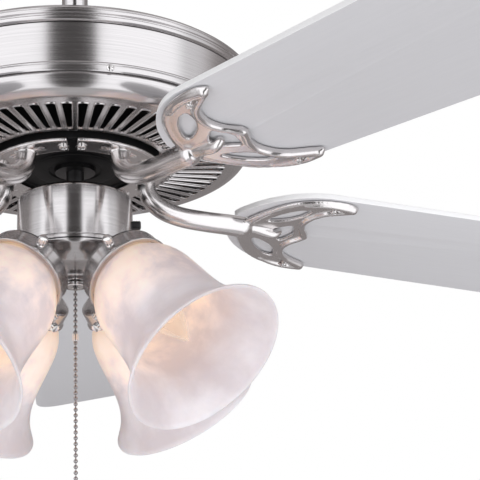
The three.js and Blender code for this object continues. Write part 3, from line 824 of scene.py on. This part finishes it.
def make_irons():
    whole = cast(merged(leaf_shape(), arm_shape(), foot_shape()), 0.85, 5)
    mesh = raw_mesh(whole, "cast_iron")
    mesh.transform(Matrix.Scale(MM, 4))
    foot_heads = []
    for degrees in (-FOOT_SCREW_ANGLE, FOOT_SCREW_ANGLE):
        place = (FOOT_SCREW_R, 0, ROTOR_BOTTOM - GAP - FOOT_T)
        washer = moved(lathe(rounded([(0.5, 0), (4.6, 0), (4.6, 0.6), (0.5, 0.6)], 0.2, 2, True), 32),
                       facing((0, 0, -1), place))
        head = moved(screw_head(3.5, 2), facing((0, 0, -1), Vector(place) - Vector((0, 0, 0.6))))
        foot_heads.append(turned(merged(washer, head), degrees))
    blade_heads = []
    for x, y in BLADE_SCREWS:
        head = moved(screw_head(2.9, 1.7), facing((0, 0, -1), (x, y, -3)))
        shank = tube([(x, y, -3.2), (x, y, LEAF_T + 2)], 1.5)
        blade_heads.append(moved(merged(head, shank), LEAF_FRAME))
    for i in range(BLADES):
        number, place = i + 1, blade_frame(i)
        iron = piece_of(f"openwork_iron_{number}", mesh.copy(), cast_nickel, "rotor",
                        [f"blade_iron_{number}"], place, 60)
        iron.data.name = iron.name
        piece(f"foot_screws_{number}", merged(*foot_heads), bright_nickel, "rotor", (), place)
        piece(f"blade_screws_{number}", merged(*blade_heads), bright_nickel, "rotor", (), place)
    bpy.data.meshes.remove(mesh)


def make_blades():
    root = [
        (133, 10), (134.6, 15), (139.4, 23), (146.6, 32.4), (156, 41.4), (168, 49.6), (182, 55.6), (198, 59),
    ]
    tip = rounded([(400, 63), (BLADE_TIP, 69.5), (BLADE_TIP + 0.5, 0)], 30, 10)[:-1]
    half = through(root, 4) + tip
    notch = rounded([(133, 10), (151, 10), (153, 0)], 6, 4)[1:-1]
    half = notch[::-1] + half
    outline = half + [Vector((x, -y)) for x, y in half[::-1]]
    low = LEAF_T + GAP
    shape = moved(slab(outline, [], low, low + BLADE_T, 0.7), LEAF_FRAME)
    flat = LEAF_FRAME.to_3x3() @ Vector((0, 0, 1))
    for i in range(BLADES):
        blade = piece(f"laminate_blade_{i + 1}", shape, laminate, "rotor", [f"blade_{i + 1}"],
                      blade_frame(i), 40)
        # Side faces get the painted highlight material.
        blade.data.materials.append(painted_highlight_sides)
        for face in blade.data.polygons:
            if abs(face.normal.dot(flat)) < 0.8:
                face.material_index = 1


# ---------------------------------------------------------------- switch housing
def make_switch_cup():
    r, low = CUP_R, CUP_BOTTOM
    side = rounded([
        (r - 9, CUP_TOP), (r - 2.6, CUP_TOP - 0.6), (r, CUP_TOP - 3.4), (r, low + 3.4),
        (r - 0.5, low + 3), (r - 0.5, low + 2.6), (r, low + 2.2), (r, low),
    ], 1.6, 4)
    cup = lathe(sheet_profile(side, SHEET), 160)
    window = block((10, 7, 12.4), (r, 0, -292), 0.3)
    piece("switch_housing", carved(cup, window), nickel, "fan_frame", ["switch_cup"], sharp=30)
    knob = merged(block((8, 6.6, 5.6), (47.4, 0, -289.2), 0.9),
                  *(block((1, 6.9, 0.7), (x, 0, -286.7), 0.2) for x in (46, 48, 50)))
    piece("reverse_thumb", knob, black_plastic, "reverse_lever", ["reverse_knob"])
    keep(["capacitor", "reverse_switch", "pull_switch"], black_plastic)
    keep(["cup_plate"], zinc)


# ---------------------------------------------------------------- light kit
def lamp_frame(index):
    around = Matrix.Rotation(math.radians(45 + 360 / LAMPS * index), 4, "Z")
    tilt = Matrix.Rotation(math.pi - math.radians(LAMP_TILT), 4, "Y")
    return around @ Matrix.Translation((LAMP_R, 0, LAMP_Z)) @ tilt


def make_light_body():
    top = CUP_BOTTOM - GAP
    bore = 2.6
    line = rounded([
        (bore, top), (CUP_R - 0.4, top), (CUP_R - 1.6, top - 2.7), (CUP_R - 8, -321.6), (28, -326.6),
        (17, -330), (9.4, -331.6), (8.2, -336), (bore, -336),
    ], 2.4, 4)
    piece("light_fitter_body", lathe(line, 128), nickel, "fan_frame", ["light_body"])
    tip = rounded([(bore, -336.3), (7.6, -336.3), (9, -337.2), (9, -339), (8.2, -340), (bore + 0.4, -340),
                   (bore, -339.4)], 0.5, 3)
    piece("chain_bushing", lathe(tip, 64), bright_nickel, "fan_frame", ["chain_nozzle"])


def thumb_screw():
    """Knurled thumbscrew through the fitter's wall, pointing along +X of the lamp frame."""
    def knurl(angle, r, z):
        return 1 + 0.05 * math.cos(12 * angle) if r > 2.8 and z > 38 else 1

    profile = [
        (0, 31.5), (1.5, 31.5), (1.5, 34.6), (3.2, 34.8), (3.4, 35.2), (3.4, 36.8), (3.0, 37.2), (1.7, 37.4),
        (1.7, 38.4), (3.0, 38.8), (3.5, 39.5), (3.5, 42.6), (3.0, 43.5), (1.6, 43.9), (0, 43.9),
    ]
    return moved(lathe(profile, 48, knurl), facing((1, 0, 0), (0, 0, -7)))


def make_fitter(number, place):
    wall = [(0, -19), (26, -19), (32.6, -15.4), (33.3, -13), (33.3, -3.4), (34.6, -2.8), (FITTER_R, -1.6),
            (FITTER_R, -0.3), (34.2, 0), (32, 0), (31.6, -3), (31.2, -13), (27, -17), (0, -17)]
    neck = [(0, -27.6), (9, -27.6), (9, -20.6), (10.6, -18.4), (0, -18.4)]
    holder = merged(lathe(rounded(wall, 1, 3), 96), lathe(neck, 48))
    piece(f"shade_holder_{number}", holder, nickel, "fan_frame", [f"fitter_{number}"], place)
    screws = merged(*(turned(thumb_screw(), a) for a in (0, 120, 240)))
    piece(f"shade_thumbscrews_{number}", screws, bright_nickel, "fan_frame", (), place)


def make_lamp(number, place):
    holder = rounded([(0, -16.7), (14.5, -16.7), (14.5, 5), (13.4, 10), (7.4, 10), (7.4, -8), (0, -8)], 1, 3)
    piece(f"lamp_holder_{number}", lathe(holder, 48), lamp_holder, "fan_frame", [f"socket_{number}"],
          place)
    base = [(0, -7.6), (4, -7), (6.4, -4)]
    for k in range(5):
        base += [(6.7, -3 + 2.6 * k), (6.2, -1.7 + 2.6 * k)]
    base += [(6.6, 10.6), (0, 10.8)]
    piece(f"lamp_base_{number}", lathe(base, 40), brass, "fan_frame", (), place)
    envelope = through([
        (6.4, 11.2), (9, 15.4), (13.6, 22), (15.8, 31), (15.4, 41), (12.4, 53), (7.2, 66), (3.4, 74),
        (1.6, 77.6), (0, 79),
    ], 4)
    piece(f"candle_bulb_{number}", lathe([(0, 11.2), *envelope], 48), bulb_glass, "fan_frame",
          [f"bulb_{number}"], place, 60)
    coil = [(2.4 * math.cos(k * 0.9), 2.4 * math.sin(k * 0.9), 34 + 0.16 * k) for k in range(90)]
    wires = [tube([(x, 0, 12), (x * 1.4, 0, 24), (x * 0.8, 0, 36)], 0.3, 6) for x in (3, -3)]
    stem = capsule([(0, 0, 12), (0, 0, 26)], 1.6, 12)
    piece(f"filament_{number}", merged(tube(coil, 0.35, 6), *wires, stem), filament_glow, "fan_frame", (),
          place)


SHADE_SIDE = [
    (29, -11), (29, -5), (30.2, 0), (34.8, 6), (39, 14.5), (41.4, 25), (42.4, 38), (43.2, 52), (44.8, 66),
    (47.8, 77.5), (53.6, 89), (SHADE_MOUTH_R, SHADE_LENGTH),
]


def make_shade(number, place):
    side = through(SHADE_SIDE, 4)
    profile = sheet_profile(side, -2.4)
    lip_in, lip_out = profile[len(side)], profile[len(side) - 1]
    lip = [lip_out + (lip_in - lip_out) * 0.5 + Vector((1.0, 0.75)) * 0.9]
    profile = side + lip + profile[len(side):]
    glass = lathe(profile, 112)
    return piece(f"alabaster_shade_{number}", glass, alabaster, "fan_frame", [f"shade_{number}"],
                 place, 70)


LAMP_POWER = 0.003
LAMP_COLOUR = (1, 0.70, 0.44)


def add_lamp_light(shade):
    """Warm light in the middle of a shade, moving with it."""
    data = bpy.data.lights.new("lamp_glow", "POINT")
    data.energy = LAMP_POWER
    data.color = LAMP_COLOUR
    data.shadow_soft_size = 0.012
    light = linked(data, "lamp_glow")
    light.parent = shade
    light.matrix_parent_inverse = Matrix.Identity(4)
    light.location = (0, 0, GLOW_PLACE)


def make_light_kit():
    make_light_body()
    for i in range(LAMPS):
        place = lamp_frame(i)
        make_fitter(i + 1, place)
        make_lamp(i + 1, place)
        add_lamp_light(make_shade(i + 1, place))


# ---------------------------------------------------------------- pull chain
BEAD_PITCH = 4.25
COUPLING_Z = -379


def make_coupling():
    """Small barrel that joins the chain's two lengths."""
    middle = COUPLING_Z
    barrel = rounded([
        (0, middle - 4), (1.7, middle - 3.8), (2.3, middle - 2.6), (2.3, middle + 2.6), (1.7, middle + 3.8),
        (0, middle + 4),
    ], 0.6, 3)
    return piece("chain_coupling", lathe(barrel, 32), bright_nickel, "light_chain", ())


def make_pendant():
    top = CHAIN_BOTTOM - GAP
    line = through([
        (0, top - 27), (2.2, top - 26.6), (4, top - 25.4), (6.1, top - 21.4), (6.4, top - 18),
        (5.2, top - 13), (3.6, top - 8.6), (2.5, top - 5), (3.1, top - 3.4), (2.9, top - 2),
        (2.1, top - 0.5), (0, top),
    ], 3)
    return piece("pull_pendant", lathe(line, 48), nickel, "light_chain", ["chain_pendant"])


def make_pull_chain():
    bead_r = CHAIN_D / 2
    count = round((CHAIN_TOP - CHAIN_BOTTOM) / BEAD_PITCH)
    pitch = (CHAIN_TOP - CHAIN_BOTTOM) / count
    arc = [(bead_r * math.sin(a), -bead_r * math.cos(a)) for a in (math.pi * k / 10 for k in range(11))]
    bead = lathe([(0, arc[0][1]), *arc[1:-1], (0, arc[-1][1])], 16)
    beads = []
    for k in range(count):
        z = CHAIN_TOP - pitch * (k + 0.5)
        beads.append(moved(bead, Matrix.Translation((0, 0, z))))
    wire = tube([(0, 0, CHAIN_TOP - 0.5 * pitch), (0, 0, CHAIN_BOTTOM + 0.5 * pitch)], 0.55, 8)
    chain = piece("bead_chain", merged(*beads, wire), bead_nickel, "light_chain", ["pull_chain"])
    coupling = make_coupling()
    pendant = make_pendant()


# ---------------------------------------------------------------- studio
def make_floor():
    size, height = 2.5, -6
    mesh = bpy.data.meshes.new("studio_floor")
    corners = [(-size, -size, height), (size, -size, height), (size, size, height), (-size, size, height)]
    mesh.from_pydata(corners, [], [(0, 1, 2, 3)])
    floor = linked(mesh, "studio_floor")
    material, tree, shader = new_material("pale_floor")
    tone = noise(tree, object_place(tree), 0.4, 2)
    colour = blend_colours(tree, tone, (0.80, 0.80, 0.80), (0.84, 0.84, 0.84))
    tree.links.new(colour, shader.inputs["Base Color"])
    shader.inputs["Roughness"].default_value = 0.8
    mesh.materials.append(material)


ROOM_LEVEL, PANEL_LEVEL, SLIT_LEVEL = 0.3, 1.42, 0.07
PANEL_END_LEVEL, CEILING_LEVEL = 0.85, 0.55  # the last one is for straight up and straight down
SLIT_EDGE = 0.25  # radians either side of -Y, where the dark slit between the panels ends
PANEL_EDGE = 1.12
PANEL_TURN = 0.03


def make_world():
    """White backdrop for the camera. The object sees grey, two wide bright panels and a dark slit between."""
    world = bpy.data.worlds.new("studio")
    bpy.context.scene.world = world
    world.use_nodes = True
    tree = world.node_tree
    tree.nodes.clear()
    direction = add_node(tree, "ShaderNodeTexCoord").outputs["Generated"]
    x, y, z = add_node(tree, "ShaderNodeSeparateXYZ", {0: direction}).outputs
    heading = maths(tree, "ARCTAN2", x, maths(tree, "MULTIPLY", y, -1.0))
    azimuth = maths(tree, "ABSOLUTE", maths(tree, "ADD", heading, PANEL_TURN))

    def ramp(value, start, end, low, high):
        inputs = {"Value": value, "From Min": start, "From Max": end, "To Min": low, "To Max": high}
        return add_node(tree, "ShaderNodeMapRange", inputs, interpolation_type="SMOOTHSTEP").outputs[0]

    opening = ramp(azimuth, SLIT_EDGE - 0.03, SLIT_EDGE + 0.05, 0, 1)
    inner = ramp(azimuth, PANEL_EDGE, PANEL_EDGE + 0.2, PANEL_LEVEL, PANEL_END_LEVEL)
    outer = ramp(azimuth, PANEL_EDGE + 0.3, PANEL_EDGE + 0.75, 0, PANEL_END_LEVEL - ROOM_LEVEL)
    panel = maths(tree, "SUBTRACT", inner, outer)
    above_slit = maths(tree, "MULTIPLY", opening, maths(tree, "SUBTRACT", panel, SLIT_LEVEL))
    around = maths(tree, "ADD", SLIT_LEVEL, above_slit)
    below = ramp(z, -0.99, -0.84, 0, 1)
    above = ramp(z, 0.7, 0.92, 1, 0)
    share = maths(tree, "MULTIPLY", below, above)
    level = maths(tree, "ADD", maths(tree, "MULTIPLY", around, share),
                  maths(tree, "MULTIPLY", maths(tree, "SUBTRACT", 1.0, share), CEILING_LEVEL))
    seen = add_node(tree, "ShaderNodeBackground", {"Color": (1, 1, 1, 1), "Strength": 1.0})
    tint = blend_colours(tree, ramp(level, 0.2, 1.0, 0, 1), (1, 0.93, 0.925), (0.99, 0.995, 1.02))
    lit = add_node(tree, "ShaderNodeBackground", {"Color": tint, "Strength": level})
    path = add_node(tree, "ShaderNodeLightPath")
    mix = add_node(tree, "ShaderNodeMixShader", {
        0: path.outputs["Is Camera Ray"], 1: lit.outputs[0], 2: seen.outputs[0]})
    output = add_node(tree, "ShaderNodeOutputWorld")
    tree.links.new(mix.outputs[0], output.inputs[0])


def add_soft_light(name, place, target, size, power):
    data = bpy.data.lights.new(name, "AREA")
    data.size = size
    data.energy = power
    light = linked(data, name)
    light.location = place
    light.rotation_euler = (Vector(target) - Vector(place)).to_track_quat("-Z", "Y").to_euler()
    light.visible_camera = False
    light.visible_glossy = False


make_hanger()
make_downrod()
make_housing_top()
make_housing_band()
make_housing_pan()
make_rotor()
make_irons()
make_blades()
make_switch_cup()
make_light_kit()
make_pull_chain()
make_floor()
make_world()
add_soft_light("fill_below", (0.6, -1.8, -2.6), (0, 0, -0.3), 2.0, 25)
bpy.context.scene.view_settings.view_transform = "Standard"
